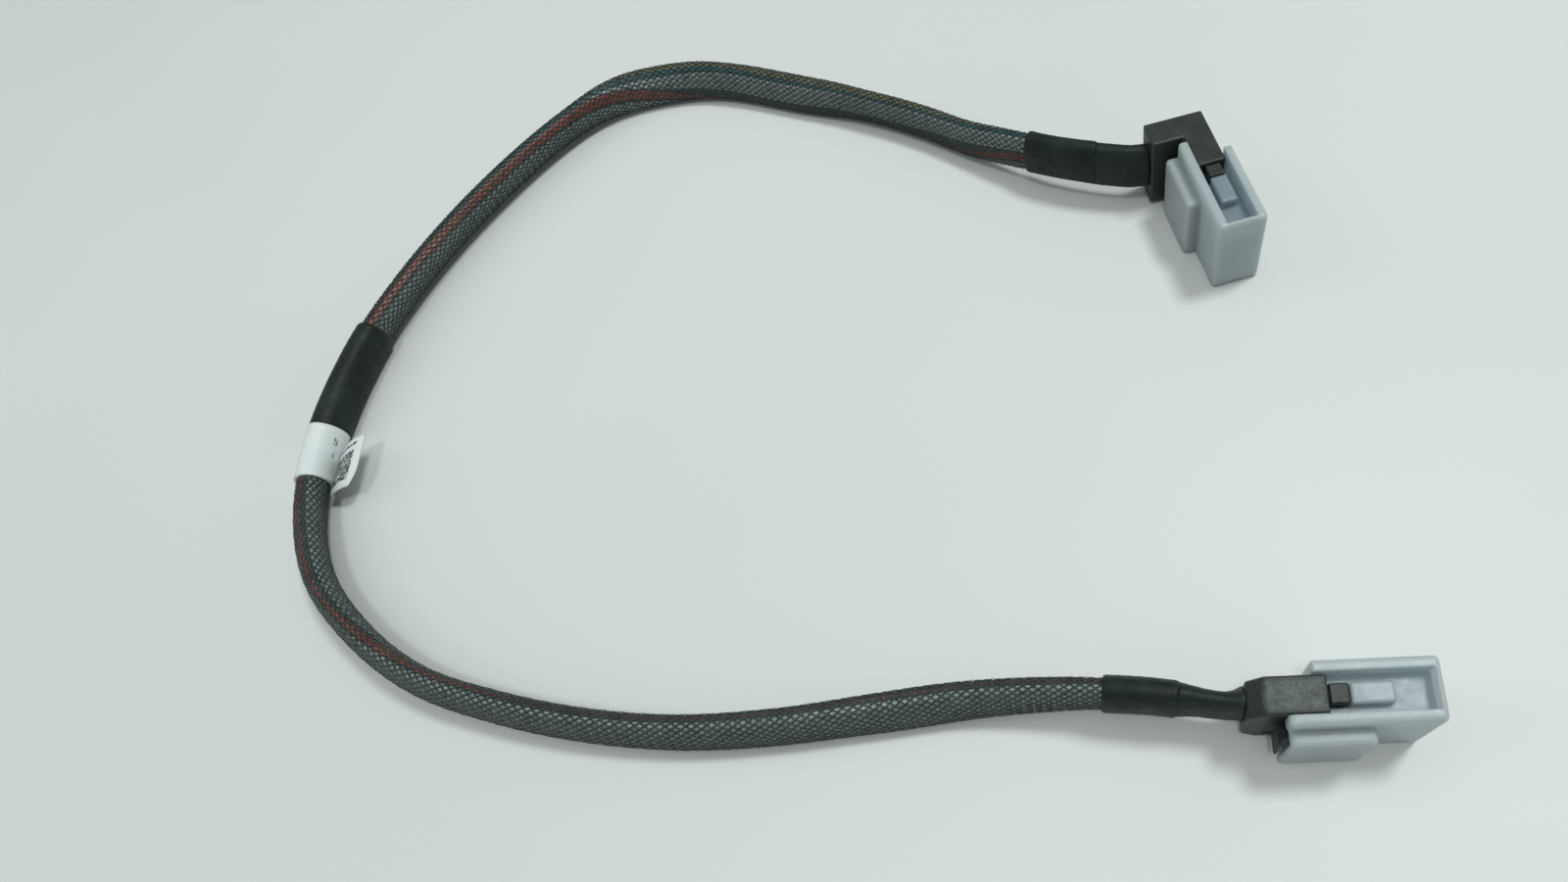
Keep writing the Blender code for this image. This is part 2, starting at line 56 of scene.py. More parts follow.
# The route seen from above, and the height of its line: at both plugs, then down to the table between them
ROUTE = [
    (-24.3, 73.1), (-27.7, 72.9), (-31.2, 73.4), (-37.0, 74.6), (-48.9, 78.6), (-66.5, 87.9), (-84.0, 98.3),
    (-102.0, 106.5), (-121.0, 112.9), (-140.0, 118.8), (-154.8, 120.8), (-169.4, 118.0), (-181.8, 110.5),
    (-192.2, 99.2), (-203.1, 82.5), (-212.3, 64.7), (-219.5, 46.1), (-224.3, 26.7), (-226.1, 6.8),
    (-224.3, -13.1), (-216.4, -31.4), (-202.8, -45.9), (-186.3, -57.0), (-167.4, -63.7), (-148.0, -68.2),
    (-128.1, -70.5), (-108.1, -70.2), (-88.2, -68.3), (-68.3, -66.4), (-48.3, -66.7), (-34.0, -68.0),
    (-23.6, -69.6), (-18.0, -70.7), (-13.1, -71.4),
]
FINE_STEPS = 24
DIRECTION_REACH = 0.5
PLUG_LINE = 11.25
TABLE_LINE = 4.5
LIFT_START = 14.0
LIFT_LENGTH = 58.0
TABLE_GAP = 0.5
CLEARING_SHARPNESS = 4
PATH_STEP = 2.0

# The flat bundle's half width and half height over the braid, and its lean towards the inside of the loop, at
# places along the route
HALF_WIDTH = [(0, 2.7), (32, 2.9), (60, 3.1), (300, 3.1), (324, 2.95), (350, 2.85), (390, 3.1), (513, 3.05),
              (521, 2.7), (529, 2.3), (541, 1.85)]
HALF_HEIGHT = [(0, 6.3), (20, 6.1), (32, 5.9), (60, 5.4), (90, 5.2), (255, 5.2), (270, 4.6), (285, 4.2),
               (297, 4.3), (312, 5.2), (490, 5.2), (513, 5.2), (528, 5.5), (541, 6.0)]
LEAN = [(0, 0), (30, 0), (42, -7), (73, -3), (87, 3), (102, -27), (116, -31), (131, -20), (145, -38),
        (158, -26), (171, 17), (185, 24), (224, 26), (250, 26), (268, 14), (288, 0), (299, 22), (312, 37),
        (324, 30), (337, 20), (361, 15), (414, 17), (454, 24), (473, 34), (490, 24), (512, 5), (541, 0)]
SMOOTHING = 7.0
SMOOTHING_SAMPLES = 7

# How far points round the flat section are turned so that they lie evenly: the second and fourth harmonic
EVENING = (0.2, 0.03)

# Wires seen through the braid, in order round the bundle: material, columns of mesh, and the angle where they
# start at places along the route. The last ones end where the first start.
RIBBONS = [
    ("brown", 9, [(34, -44), (60, -30), (80, -12), (100, -20), (120, -30), (145, -36), (200, -36), (240, -42),
                  (262, -46), (282, -190)]),
    ("teal", 8, [(34, -12), (60, 4), (80, 21), (100, 12), (120, 3), (145, -3), (200, -3), (240, -10),
                 (262, -14), (282, -184)]),
    ("foil", 45, [(34, 12), (60, 18), (80, 32), (100, 25), (120, 22), (158, 24), (170, 21), (200, 20),
                  (220, 16), (240, 7), (262, 4), (282, -178)]),
    # This dark band is partly dark wires and partly painted shade along the shaded low side of the upper run
    ("dark", 12, [(34, 64), (60, 84), (80, 100), (100, 97), (120, 98), (140, 86), (148, 74), (155, 52),
                  (160, 38), (170, 23), (200, 21), (220, 17), (240, 8), (262, 5), (282, -46), (300, -44),
                  (320, -34), (335, -20), (342, -14), (348, -4), (355, 6), (362, 14), (372, 18), (385, 14),
                  (400, 10)]),
    ("red", 12, [(34, 67), (50, 110), (60, 145), (80, 152), (130, 152), (140, 112), (148, 80), (155, 57),
                 (160, 42), (170, 25), (200, 22), (220, 19), (240, 10), (262, 7), (282, -32), (300, -30),
                 (320, -22), (335, -12), (342, -7), (348, 1), (355, 10), (362, 19), (372, 26), (385, 22),
                 (400, 18)]),
    ("maroon", 6, [(34, 106), (50, 132), (60, 158), (130, 162), (148, 117), (155, 99), (160, 87), (170, 66),
                   (180, 57), (200, 55), (220, 52), (240, 43), (262, 37), (282, 4), (300, 6), (320, 7),
                   (335, 5), (342, 11), (348, 27), (355, 43), (362, 49), (372, 44), (385, 24), (400, 19)]),
    ("dark", 8, [(34, 107), (50, 133), (60, 159), (130, 163), (148, 118), (155, 100), (160, 88), (170, 67),
                 (180, 58), (200, 56), (220, 53), (240, 44), (262, 38), (282, 5), (300, 7), (320, 8),
                 (335, 6), (342, 12), (348, 28), (355, 44), (362, 50), (372, 51), (385, 41), (400, 35)]),
    ("foil", 64, [(34, 115), (60, 165), (130, 168), (148, 124), (155, 105), (160, 93), (170, 74), (180, 62),
                  (200, 60), (220, 57), (240, 48), (262, 43), (282, 22), (320, 26), (335, 22), (342, 26),
                  (348, 38), (355, 52), (362, 58), (372, 62)]),
]
WIRE_DEGREES = 20.0
WIRE_STEP = 1.5
WIRES_SHORT_OF_ENDS = (0.4, 0.3)
WIRES_UNDER_BRAID = 0.27
WIRE_BULGE = 0.25
WIRE_ROUNDNESS = 0.96

# Both braids: start, end, and how wide their strands are against the profile
UPPER_BRAID = (30.0, 259.4, 0.88)
LOWER_BRAID = (298.5, 515.4, 1.12)
STRANDS = 18
STRAND_PITCH = 38.0
STRAND_SAMPLES = 72
STRAND_WEAVE = 0.08
STRAND_SINK = 0.16
STRAND_PROFILE = [(-0.17, -0.03), (-0.07, 0.07), (0.07, 0.07), (0.17, -0.03)]

# Shrunk sleeves, by the node that each replaces. The bulge is the outside's lift over the braid at places, the lip
# is how far both ends drop, and each bump is a place, an angle, a reach along, a reach round and a height.
SLEEVES = {
    "angled_sleeve": dict(start=-1.3, end=12.5, bulge=[(0, 0.4), (12.5, 0.45)], lip=0.05),
    "angled_collar": dict(start=12.45, end=31.8, bulge=[(12.4, 0.5), (31.8, 0.5)], lip=0.08,
                          bumps=[(13.6, -60, 1.6, 40, 0.5), (31.2, -60, 1.2, 50, 0.25)]),
    "middle_sleeve": dict(start=257.4, end=285.9, bulge=[(257, 0.5), (286, 0.45)]),
    "straight_collar": dict(start=513.2, end=528.3, bulge=[(513, 0.55), (520, 0.75), (528.3, 1.0)]),
    "straight_sleeve": dict(start=528.2, end=541.6, bulge=[(528, 0.8), (530, 0.55), (533, 0.35), (541, 0.35)],
                            lip=0.0, bumps=[(541.5, 65, 2.4, 58, 1.9)]),
}
SLEEVE_COLUMNS = 72
SLEEVE_STEP = 0.6
SLEEVE_LIP = 0.2
SLEEVE_END_LIFT = -0.1
SLEEVE_INNER_LIFT = -0.15
WRINKLE_HEIGHT = 0.035
WRINKLES_ROUND = 7
WRINKLE_SLANT = 1.4

# The label: its wrap, and its flag with the corners inner top, inner low, outer top and outer low. Printed fields
# are shares of the flag, outward and down. Each mark on the wrap is a place, an angle, a length and a width round.
LABEL_WRAP = dict(start=285.9, end=300.2, bulge=[(285.9, 0.45), (300.2, 0.45)], lip=0.0, wrinkles=0.0)
FLAG_CORNERS = [(-222.7, 1.2, 3.0), (-222.0, -11.0, 2.9), (-215.2, 4.1, 7.0), (-213.9, -9.9, 7.0)]
FLAG_THICKNESS = 0.22
FLAG_CUT = 0.16
FLAG_CUT_START = 0.6
FLAG_BOW = 0.7
FLAG_DROOP = 0.5
FLAG_DROOP_POWER = 8
FLAG_RIPPLE = 0.25
FLAG_RIPPLE_PHASE = (2.2, 0.4)
WHOLE_FLAG = ((0, 1), (0, 1))
PRINTED_SQUARE = ((0.05, 0.78), (0.27, 0.84))
PRINTED_BAR = ((0.16, 0.8), (0.1, 0.16))
PRINTED_MARKS = [(288.6, 62, 1.9, 3.5), (288.9, 70, 1.8, 3.5), (292.6, 66, 1.4, 3)]
INK_THICKNESS = 0.02
MARK_LIFT = 0.49
PATCH_STEPS = 16
MARK_STEPS = 4

# Materials' tones: each pair is the low and the high end of its mottling
FOIL_TONES = ((0.138, 0.171, 0.165), (0.258, 0.305, 0.297))
JACKET_TONES = {
    "red": ((0.125, 0.028, 0.019), (0.22, 0.055, 0.035)),
    "maroon": ((0.045, 0.024, 0.022), (0.085, 0.04, 0.036)),
    "brown": ((0.085, 0.078, 0.045), (0.15, 0.135, 0.08)),
    "teal": ((0.006, 0.042, 0.054), (0.014, 0.075, 0.09)),
    # The dark jacket is dark wires, and in the upper run also painted shade along the bundle's low side
    "dark": ((0.015, 0.03, 0.033), (0.03, 0.05, 0.054)),
}
STRAND_TONES = ((0.018, 0.027, 0.026), (0.038, 0.051, 0.05))
SHRINK_TONES = ((0.0065, 0.0115, 0.0108), (0.0145, 0.024, 0.0222))
PAPER_TONES = ((0.645, 0.695, 0.70), (0.68, 0.727, 0.73))
INK_TONES = ((0.02, 0.025, 0.025), (0.55, 0.56, 0.55))
SHELL_TONES = ((0.017, 0.023, 0.021), (0.03, 0.038, 0.035))
SHELL_EDGE_TONE = (0.055, 0.063, 0.06)
PANEL_TONES = ((0.026, 0.033, 0.034), (0.072, 0.09, 0.094))
CAP_TONES = ((0.46, 0.54, 0.575), (0.53, 0.605, 0.635))
# A painted highlight along the caps' edges
CAP_EDGE_HIGHLIGHT = (0.62, 0.70, 0.725)
STEEL_TONES = ((0.004, 0.0055, 0.0055), (0.011, 0.014, 0.014))
BOARD_TONES = ((0.012, 0.12, 0.05), (0.03, 0.2, 0.09))
GOLD_TONE = (0.83, 0.62, 0.25)
TONGUE_TONES = ((0.013, 0.0165, 0.0165), (0.029, 0.0355, 0.0355))
TABLE_TONES = ((0.63, 0.645, 0.64), (0.67, 0.685, 0.68))
LAMP_TONE = (0.94, 1.0, 0.98)
SURROUND_TONE = (0.9, 0.96, 0.94)

# The plugs: where each stands and how it is turned, and the painted shading of its cap's trough: painted shade on
# the floor and ledge top, and on the walls painted light against their shade on the straight cap, painted shade on
# the angled one.
# The fields and heights below are in a plug's own axes, with x towards its mouth. A field is a range of x and a
# range of y.
STRAIGHT = SimpleNamespace(name="straight", place=(2.5, -71.5), turn=0.0,
                           floor_painted_shade=(0.43, 0.505, 0.55), wall_painted_shading=(0.74, 0.82, 0.85))
ANGLED = SimpleNamespace(name="angled", place=(-7.8, 63.1), turn=-74.0,
                         floor_painted_shade=(0.28, 0.35, 0.41), wall_painted_shading=(0.28, 0.35, 0.41))
PANEL_FIELD = ((-14.1, -1.1), (-2.65, 2.65))
PANEL_FLOOR = 20.7
TROUGH_FIELD = ((-9, 20.7), (-4.0, 4.0))
LEDGE_FIELD = ((-9, 13.1), (-2.5, 2.5))
# Heights of the painted shade on the trough's floor and ledge top, and of the painted shading on its walls
TROUGH_HEIGHTS = (17.5, 21.5)
WALL_HEIGHTS = (18.7, 21.8)
CARD_FACE = 0.53

# For the nodes: how far the bevelled normal turns at an edge, a noise's middle range, and the mix node's sockets
# for colours
BEVEL_SAMPLES = 6
EDGE_FACING = (0.995, 0.8)
NOISE_MIDDLE = (0.3, 0.7)
MIX_COLOURS = (6, 7)
MIX_RESULT = 2

# The stage: lamps as name, place, point looked at, size and power, and the camera that took the photograph
LAMPS = [
    ("key", (0.38, 0.25, 1.05), (-0.05, 0.0, 0), 0.25, 6.5),
    ("glint", (-0.05, -0.32, 1.2), (-0.1, 0.05, 0), 0.16, 2.5),
    ("overhead", (-0.2, 0.1, 1.3), (-0.1, 0, 0), 1.4, 3.0),
    ("left", (-0.85, 0.05, 0.6), (-0.1, 0, 0), 0.5, 0.9),
]
SURROUND_STRENGTH = 0.3
TABLE_HALF_SIDE = 3.0
CAMERA_LENS = 20.939
CAMERA_SENSOR = 36
CAMERA_SHIFT = (-0.20124, 0.04447)
CAMERA_NEAR = 0.01
CAMERA_PLACE = (-0.037353, -0.110479, 0.193363)
CAMERA_TURN = (24.587, 1.6231, -2.0527)


# The cable's run


def smooth_route():
    """The route's fine points, on the same curve as the part's."""
    points = np.array(ROUTE, float)
    slopes = np.empty_like(points)
    slopes[1:-1] = points[2:] - points[:-2]
    slopes[0] = points[1] - points[0]
    slopes[-1] = points[-1] - points[-2]
    slopes /= np.linalg.norm(slopes, axis=1)[:, None]
    fine = [points[:1]]
    step = np.arange(1, FINE_STEPS + 1)[:, None] / FINE_STEPS
    for start, end, leaving, arriving in zip(points[:-1], points[1:], slopes[:-1], slopes[1:]):
        reach = np.linalg.norm(end - start) / 3
        first, second = start + leaving * reach, end - arriving * reach
        fine.append((1 - step) ** 3 * start + 3 * (1 - step) ** 2 * step * first
                    + 3 * (1 - step) * step ** 2 * second + step ** 3 * end)
    return np.concatenate(fine)


LINE = smooth_route()
ALONG = np.concatenate([[0.0], np.cumsum(np.linalg.norm(np.diff(LINE, axis=0), axis=1))])
TOTAL = ALONG[-1]


def read_table(table, along):
    """A table's values at places along the route, averaged over a short way so that nothing kinks."""
    places, values = np.array(table, float).T
    offsets = np.linspace(-SMOOTHING, SMOOTHING, SMOOTHING_SAMPLES)
    return np.mean([np.interp(along + offset, places, values) for offset in offsets], axis=0)


def section(along):
    """Half width, half height and lean in radians of the braid's outside."""
    width = read_table(HALF_WIDTH, along)
    height = read_table(HALF_HEIGHT, along)
    lean = np.radians(read_table(LEAN, along))
    return width, height, lean


def line_height(along):
    """Height of the centreline: eased from the plugs' line to the table's, and raised where a leaning section
    needs more room over the table."""
    share = np.clip((np.minimum(along, TOTAL - along) - LIFT_START) / LIFT_LENGTH, 0, 1)
    ease = 0.5 + 0.5 * np.cos(np.pi * share)
    wanted = TABLE_LINE + (PLUG_LINE - TABLE_LINE) * ease
    width, height, lean = section(along)
    needed = np.sqrt((width * np.sin(lean)) ** 2 + (height * np.cos(lean)) ** 2) + TABLE_GAP
    return wanted + np.logaddexp(0, (needed - wanted) * CLEARING_SHARPNESS) / CLEARING_SHARPNESS


def centre(along):
    """Points of the centreline, straight past the route's ends, and the way to the inside of the loop."""
    on_route = np.clip(along, 0, TOTAL)
    ahead = np.stack([np.interp(on_route + DIRECTION_REACH, ALONG, LINE[:, k]) for k in (0, 1)], -1)
    behind = np.stack([np.interp(on_route - DIRECTION_REACH, ALONG, LINE[:, k]) for k in (0, 1)], -1)
    way = ahead - behind
    way /= np.linalg.norm(way, axis=-1)[..., None]
    x, y = [np.interp(on_route, ALONG, LINE[:, k]) + (along - on_route) * way[..., k] for k in (0, 1)]
    inward = np.stack([-way[..., 1], way[..., 0], np.zeros_like(x)], -1)
    return np.stack([x, y, line_height(along)], -1), inward


def on_cable(along, angle, lift):
    """Points on the cable: an angle in degrees round its section, raised by lift over the braid's outside."""
    middle, inward = centre(along)
    width, height, lean = section(along)
    turn = np.radians(angle)
    turn = turn + (height / width - 1) * (EVENING[0] * np.sin(2 * turn) + EVENING[1] * np.sin(4 * turn))
    sideways, upward = width * np.sin(turn), height * np.cos(turn)
    normal_side, normal_up = height * np.sin(turn), width * np.cos(turn)
    size = np.hypot(normal_side, normal_up)
    sideways = sideways + lift * normal_side / size
    upward = upward + lift * normal_up / size
    across = sideways * np.cos(lean) + upward * np.sin(lean)
    rise = upward * np.cos(lean) - sideways * np.sin(lean)
    points = middle + across[..., None] * inward
    points[..., 2] += rise
    return points * MM


# Mesh building


def new_object(name, vertices, faces, materials, kinds=None):
    """A mesh object from points, faces and each face's material number."""
    mesh = bpy.data.meshes.new(name)
    mesh.from_pydata(np.asarray(vertices).reshape(-1, 3).tolist(), [], faces)
    for material in materials:
        mesh.materials.append(material)
    if kinds is not None:
        mesh.polygons.foreach_set("material_index", np.asarray(kinds, np.int32))
    mesh.polygons.foreach_set("use_smooth", np.ones(len(mesh.polygons), bool))
    mesh.update()
    made = bpy.data.objects.new(name, mesh)
    bpy.context.scene.collection.objects.link(made)
    return made


def grid_faces(rows, columns, offset=0, around=True, ends=False):
    """Faces of a grid of points that is closed round its columns, or open, with both end rows filled if asked."""
    last = columns if around else columns - 1
    faces = []
    for row in range(rows - 1):
        for column in range(last):
            beside = (column + 1) % columns
            low, high = offset + row * columns, offset + (row + 1) * columns
            faces.append((low + column, low + beside, high + beside, high + column))
    if ends:
        faces.append(tuple(offset + column for column in reversed(range(columns))))
        faces.append(tuple(offset + (rows - 1) * columns + column for column in range(columns)))
    return faces


# Node building


def new_material(name, colour, roughness, **sockets):
    """A principled material with its node tree, and its constants on the shader's own sockets."""
    material = bpy.data.materials.new(name)
    material.use_nodes = True
    shader = material.node_tree.nodes["Principled BSDF"]
    shader.inputs["Base Color"].default_value = (*colour, 1)
    shader.inputs["Roughness"].default_value = roughness
    for socket, value in sockets.items():
        shader.inputs[socket.replace("_", " ")].default_value = value
    return material, material.node_tree, shader


def add_node(tree, kind, **values):
    """A node with its properties or input values set."""
    node = tree.nodes.new(kind)
    for name, value in values.items():
        if hasattr(node, name):
            setattr(node, name, value)
        else:
            node.inputs[name.replace("_", " ")].default_value = value
    return node


def noise(tree, scale, detail, stretch=(1, 1, 1), roughness=0.5):
    """A noise over the piece, in its own coordinates in metres, stretched."""
    coordinates = add_node(tree, "ShaderNodeTexCoord")
    mapping = add_node(tree, "ShaderNodeMapping", Scale=stretch)
    tree.links.new(coordinates.outputs["Object"], mapping.inputs["Vector"])
    node = add_node(tree, "ShaderNodeTexNoise", Scale=scale, Detail=detail, Roughness=roughness)
    tree.links.new(mapping.outputs["Vector"], node.inputs["Vector"])
    return node.outputs["Fac"]


def ramp(tree, source, low, high, start=0.35, end=0.65):
    """A colour that goes from low to high as the source goes from start to end."""
    node = add_node(tree, "ShaderNodeValToRGB")
    node.color_ramp.elements[0].position = start
    node.color_ramp.elements[1].position = end
    node.color_ramp.elements[0].color = (*low, 1)
    node.color_ramp.elements[1].color = (*high, 1)
    tree.links.new(source, node.inputs["Fac"])
    return node.outputs["Color"]


def spread(tree, source, low, high):
    """A number from low to high as a noise goes over its middle range."""
    node = add_node(tree, "ShaderNodeMapRange")
    node.inputs["From Min"].default_value, node.inputs["From Max"].default_value = NOISE_MIDDLE
    node.inputs["To Min"].default_value = low
    node.inputs["To Max"].default_value = high
    tree.links.new(source, node.inputs["Value"])
    return node.outputs["Result"]


def bump(tree, shader, source, height, normal=None):
    """Raises the surface by the source, height in millimetres, and feeds the shader's normal."""
    node = add_node(tree, "ShaderNodeBump", Strength=1.0, Distance=height * MM)
    tree.links.new(source, node.inputs["Height"])
    if normal is not None:
        tree.links.new(normal, node.inputs["Normal"])
    tree.links.new(node.outputs["Normal"], shader.inputs["Normal"])
    return node.outputs["Normal"]


def soft_edges(tree, radius):
    """A normal that rounds moulded edges by a radius in millimetres."""
    node = add_node(tree, "ShaderNodeBevel", samples=BEVEL_SAMPLES, Radius=radius * MM)
    return node.outputs["Normal"]


def edge_mask(tree, radius):
    """1 within a radius in millimetres of a solid's edges, 0 on its flat faces."""
    geometry = add_node(tree, "ShaderNodeNewGeometry")
    facing = add_node(tree, "ShaderNodeVectorMath", operation="DOT_PRODUCT")
    tree.links.new(soft_edges(tree, radius), facing.inputs[0])
    tree.links.new(geometry.outputs["Normal"], facing.inputs[1])
    mask = add_node(tree, "ShaderNodeMapRange")
    mask.inputs["From Min"].default_value, mask.inputs["From Max"].default_value = EDGE_FACING
    tree.links.new(facing.outputs["Value"], mask.inputs["Value"])
    return mask.outputs["Result"]


def mixed(tree, factor, first, second):
    """A colour mixed from two sources by a factor."""
    node = add_node(tree, "ShaderNodeMix", data_type="RGBA")
    tree.links.new(factor, node.inputs["Factor"])
    for source, number in zip((first, second), MIX_COLOURS):
        if isinstance(source, tuple):
            node.inputs[number].default_value = (*source, 1)
        else:
            tree.links.new(source, node.inputs[number])
    return node.outputs[MIX_RESULT]


def math_node(tree, operation, first, second=0.0):
    """The result of a math node on links or numbers."""
    node = add_node(tree, "ShaderNodeMath", operation=operation)
    for socket, source in zip(node.inputs, (first, second)):
        if isinstance(source, (int, float)):
            socket.default_value = source
        else:
            tree.links.new(source, socket)
    return node.outputs[0]


def plug_axes(tree, plug):
    """A plug's own x, y and z in millimetres, from the piece's coordinates."""
    coordinates = add_node(tree, "ShaderNodeTexCoord")
    moved = add_node(tree, "ShaderNodeMapping", vector_type="TEXTURE")
    moved.inputs["Location"].default_value = (plug.place[0] * MM, plug.place[1] * MM, 0)
    moved.inputs["Rotation"].default_value = (0, 0, math.radians(plug.turn))
    moved.inputs["Scale"].default_value = (MM, MM, MM)
    tree.links.new(coordinates.outputs["Object"], moved.inputs["Vector"])
    split = add_node(tree, "ShaderNodeSeparateXYZ")
    tree.links.new(moved.outputs["Vector"], split.inputs["Vector"])
    return split.outputs


def inside(tree, value, low, high, edge=0.3):
    """1 where the value lies between low and high, easing to 0 over edge."""
    rising = add_node(tree, "ShaderNodeMapRange", interpolation_type="SMOOTHSTEP")
    falling = add_node(tree, "ShaderNodeMapRange", interpolation_type="SMOOTHSTEP")
    for node, start, end in ((rising, low - edge, low + edge), (falling, high + edge, high - edge)):
        node.inputs["From Min"].default_value = start
        node.inputs["From Max"].default_value = end
        tree.links.new(value, node.inputs["Value"])
    return math_node(tree, "MULTIPLY", rising.outputs["Result"], falling.outputs["Result"])


def over_field(tree, x, y, field, edge=0.3):
    """1 over a rectangle of a plug's x and y, easing to 0 over edge."""
    x_range, y_range = field
    return math_node(tree, "MULTIPLY", inside(tree, x, *x_range, edge), inside(tree, y, *y_range, edge))


# Materials


def foil_material():
    """Wires wrapped in crinkled silver foil."""
    material, tree, shader = new_material("foil_wires", (0.2, 0.24, 0.23), roughness=0.34, Metallic=0.35)
    crinkle = noise(tree, scale=700, detail=4, roughness=0.65)
    tree.links.new(ramp(tree, crinkle, *FOIL_TONES), shader.inputs["Base Color"])
    tree.links.new(spread(tree, crinkle, 0.3, 0.45), shader.inputs["Roughness"])
    bump(tree, shader, noise(tree, scale=1500, detail=3), height=0.05)
    return material


def jacket_material(name, tones):
    """A coloured wire jacket, slightly uneven."""
    material, tree, shader = new_material(name, tones[1], roughness=0.42)
    patches = noise(tree, scale=350, detail=3)
    tree.links.new(ramp(tree, patches, *tones), shader.inputs["Base Color"])
    tree.links.new(spread(tree, patches, 0.36, 0.5), shader.inputs["Roughness"])
    bump(tree, shader, noise(tree, scale=2200, detail=2), height=0.02)
    return material


def strand_material():
    """The braid's dark, glossy plastic monofilament."""
    material, tree, shader = new_material("braid_strands", (0.02, 0.024, 0.024), roughness=0.4,
                                          Specular_IOR_Level=0.4)
    tree.links.new(ramp(tree, noise(tree, scale=260, detail=3), *STRAND_TONES), shader.inputs["Base Color"])
    tree.links.new(spread(tree, noise(tree, scale=1700, detail=2), 0.28, 0.48), shader.inputs["Roughness"])
    return material


def shrink_material():
    """Black heat-shrink tube: satin, with faint dust and slight unevenness."""
    material, tree, shader = new_material("shrink_black", (0.012, 0.015, 0.015), roughness=0.6,
                                          Specular_IOR_Level=0.22)
    patches = noise(tree, scale=120, detail=5, roughness=0.6)
    uneven = noise(tree, scale=420, detail=4)
    tree.links.new(ramp(tree, patches, *SHRINK_TONES), shader.inputs["Base Color"])
    tree.links.new(spread(tree, uneven, 0.46, 0.6), shader.inputs["Roughness"])
    coarse = bump(tree, shader, uneven, height=0.12)
    bump(tree, shader, noise(tree, scale=3500, detail=2), height=0.015, normal=coarse)
    return material


def paper_material():
    """The label's coated white paper."""
    material, tree, shader = new_material("label_paper", (0.68, 0.71, 0.73), roughness=0.45)
    fibres = noise(tree, scale=900, detail=4, roughness=0.6)
    tree.links.new(ramp(tree, fibres, *PAPER_TONES), shader.inputs["Base Color"])
    bump(tree, shader, fibres, height=0.002)
    return material


def ink_material():
    """Grey print, worn and mottled."""
    material, tree, shader = new_material("label_ink", (0.05, 0.055, 0.055), roughness=0.5)
    worn = noise(tree, scale=1500, detail=3, roughness=0.6)
    tree.links.new(ramp(tree, worn, *INK_TONES, start=0.49, end=0.56), shader.inputs["Base Color"])
    return material


def panel_over(tree, plug, colour):
    """The colour, with the paler, mottled field on a plug's top laid over it."""
    x, y, z = plug_axes(tree, plug)
    on_top = math_node(tree, "GREATER_THAN", z, PANEL_FLOOR)
    field = math_node(tree, "MULTIPLY", over_field(tree, x, y, PANEL_FIELD, edge=0.25), on_top)
    mottle = ramp(tree, noise(tree, scale=330, detail=5, roughness=0.65), *PANEL_TONES, start=0.36, end=0.7)
    return mixed(tree, field, colour, mottle)


def shell_material(plug, has_panel):
    """Moulded black plastic with fine grain and a paler tone within 0.4 mm of its edges."""
    material, tree, shader = new_material(plug.name + "_shell_black", (0.02, 0.023, 0.023), roughness=0.5,
                                          Specular_IOR_Level=0.35)
    grain = noise(tree, scale=1400, detail=4, roughness=0.6)
    colour = ramp(tree, noise(tree, scale=180, detail=4), *SHELL_TONES)
    colour = mixed(tree, edge_mask(tree, radius=0.4), colour, SHELL_EDGE_TONE)
    if has_panel:
        colour = panel_over(tree, plug, colour)
    tree.links.new(colour, shader.inputs["Base Color"])
    tree.links.new(spread(tree, grain, 0.38, 0.55), shader.inputs["Roughness"])
    bump(tree, shader, grain, height=0.03, normal=soft_edges(tree, radius=0.35))
    return material


def trough_painted_shading_over(tree, plug, colour):
    """The colour, with painted shade on the floor and ledge top of a cap's trough and painted shading on its walls
    laid over it: lighter walls against their shade on the straight cap, darker ones on the angled cap.
    """
    x, y, z = plug_axes(tree, plug)
    trough = over_field(tree, x, y, TROUGH_FIELD, edge=0.1)
    off_ledge = math_node(tree, "SUBTRACT", trough, over_field(tree, x, y, LEDGE_FIELD))
    # Painted shade over the trough's floor and ledge top, and painted shading on its walls
    low = math_node(tree, "MULTIPLY", trough, inside(tree, z, *TROUGH_HEIGHTS))
    walls = math_node(tree, "MULTIPLY", off_ledge, inside(tree, z, *WALL_HEIGHTS))
    return mixed(tree, walls, mixed(tree, low, colour, plug.floor_painted_shade), plug.wall_painted_shading)


def cap_material(plug):
    """Milky, slightly bluish soft plastic that lets some light through, with faint flow marks, a painted highlight
    along its edges and painted shading in its trough.
    """
    material, tree, shader = new_material(
        plug.name + "_milky_cap", (0.38, 0.44, 0.48), roughness=0.42, IOR=1.45, Transmission_Weight=0.3,
        Subsurface_Weight=0.8, Subsurface_Radius=(1.0, 1.0, 1.0), Subsurface_Scale=0.008)
    flow = noise(tree, scale=55, detail=4, stretch=(1, 1, 0.35), roughness=0.55)
    # A painted highlight within 0.8 mm of the edges
    colour = mixed(tree, edge_mask(tree, radius=0.8), ramp(tree, flow, *CAP_TONES), CAP_EDGE_HIGHLIGHT)
    tree.links.new(trough_painted_shading_over(tree, plug, colour), shader.inputs["Base Color"])
    tree.links.new(spread(tree, noise(tree, scale=600, detail=3), 0.34, 0.46), shader.inputs["Roughness"])
    bump(tree, shader, noise(tree, scale=500, detail=3), height=0.02, normal=soft_edges(tree, radius=0.6))
    return material


def latch_material():
    """Blackened spring steel with a satin brushed finish."""
    material, tree, shader = new_material("latch_dark_steel", (0.01, 0.013, 0.013), roughness=0.5,
                                          Specular_IOR_Level=0.25)
    brushed = noise(tree, scale=700, detail=4, stretch=(1, 1, 8), roughness=0.6)
    tree.links.new(ramp(tree, brushed, *STEEL_TONES), shader.inputs["Base Color"])
    tree.links.new(spread(tree, brushed, 0.42, 0.56), shader.inputs["Roughness"])
    bump(tree, shader, brushed, height=0.01, normal=soft_edges(tree, radius=0.1))
    return material


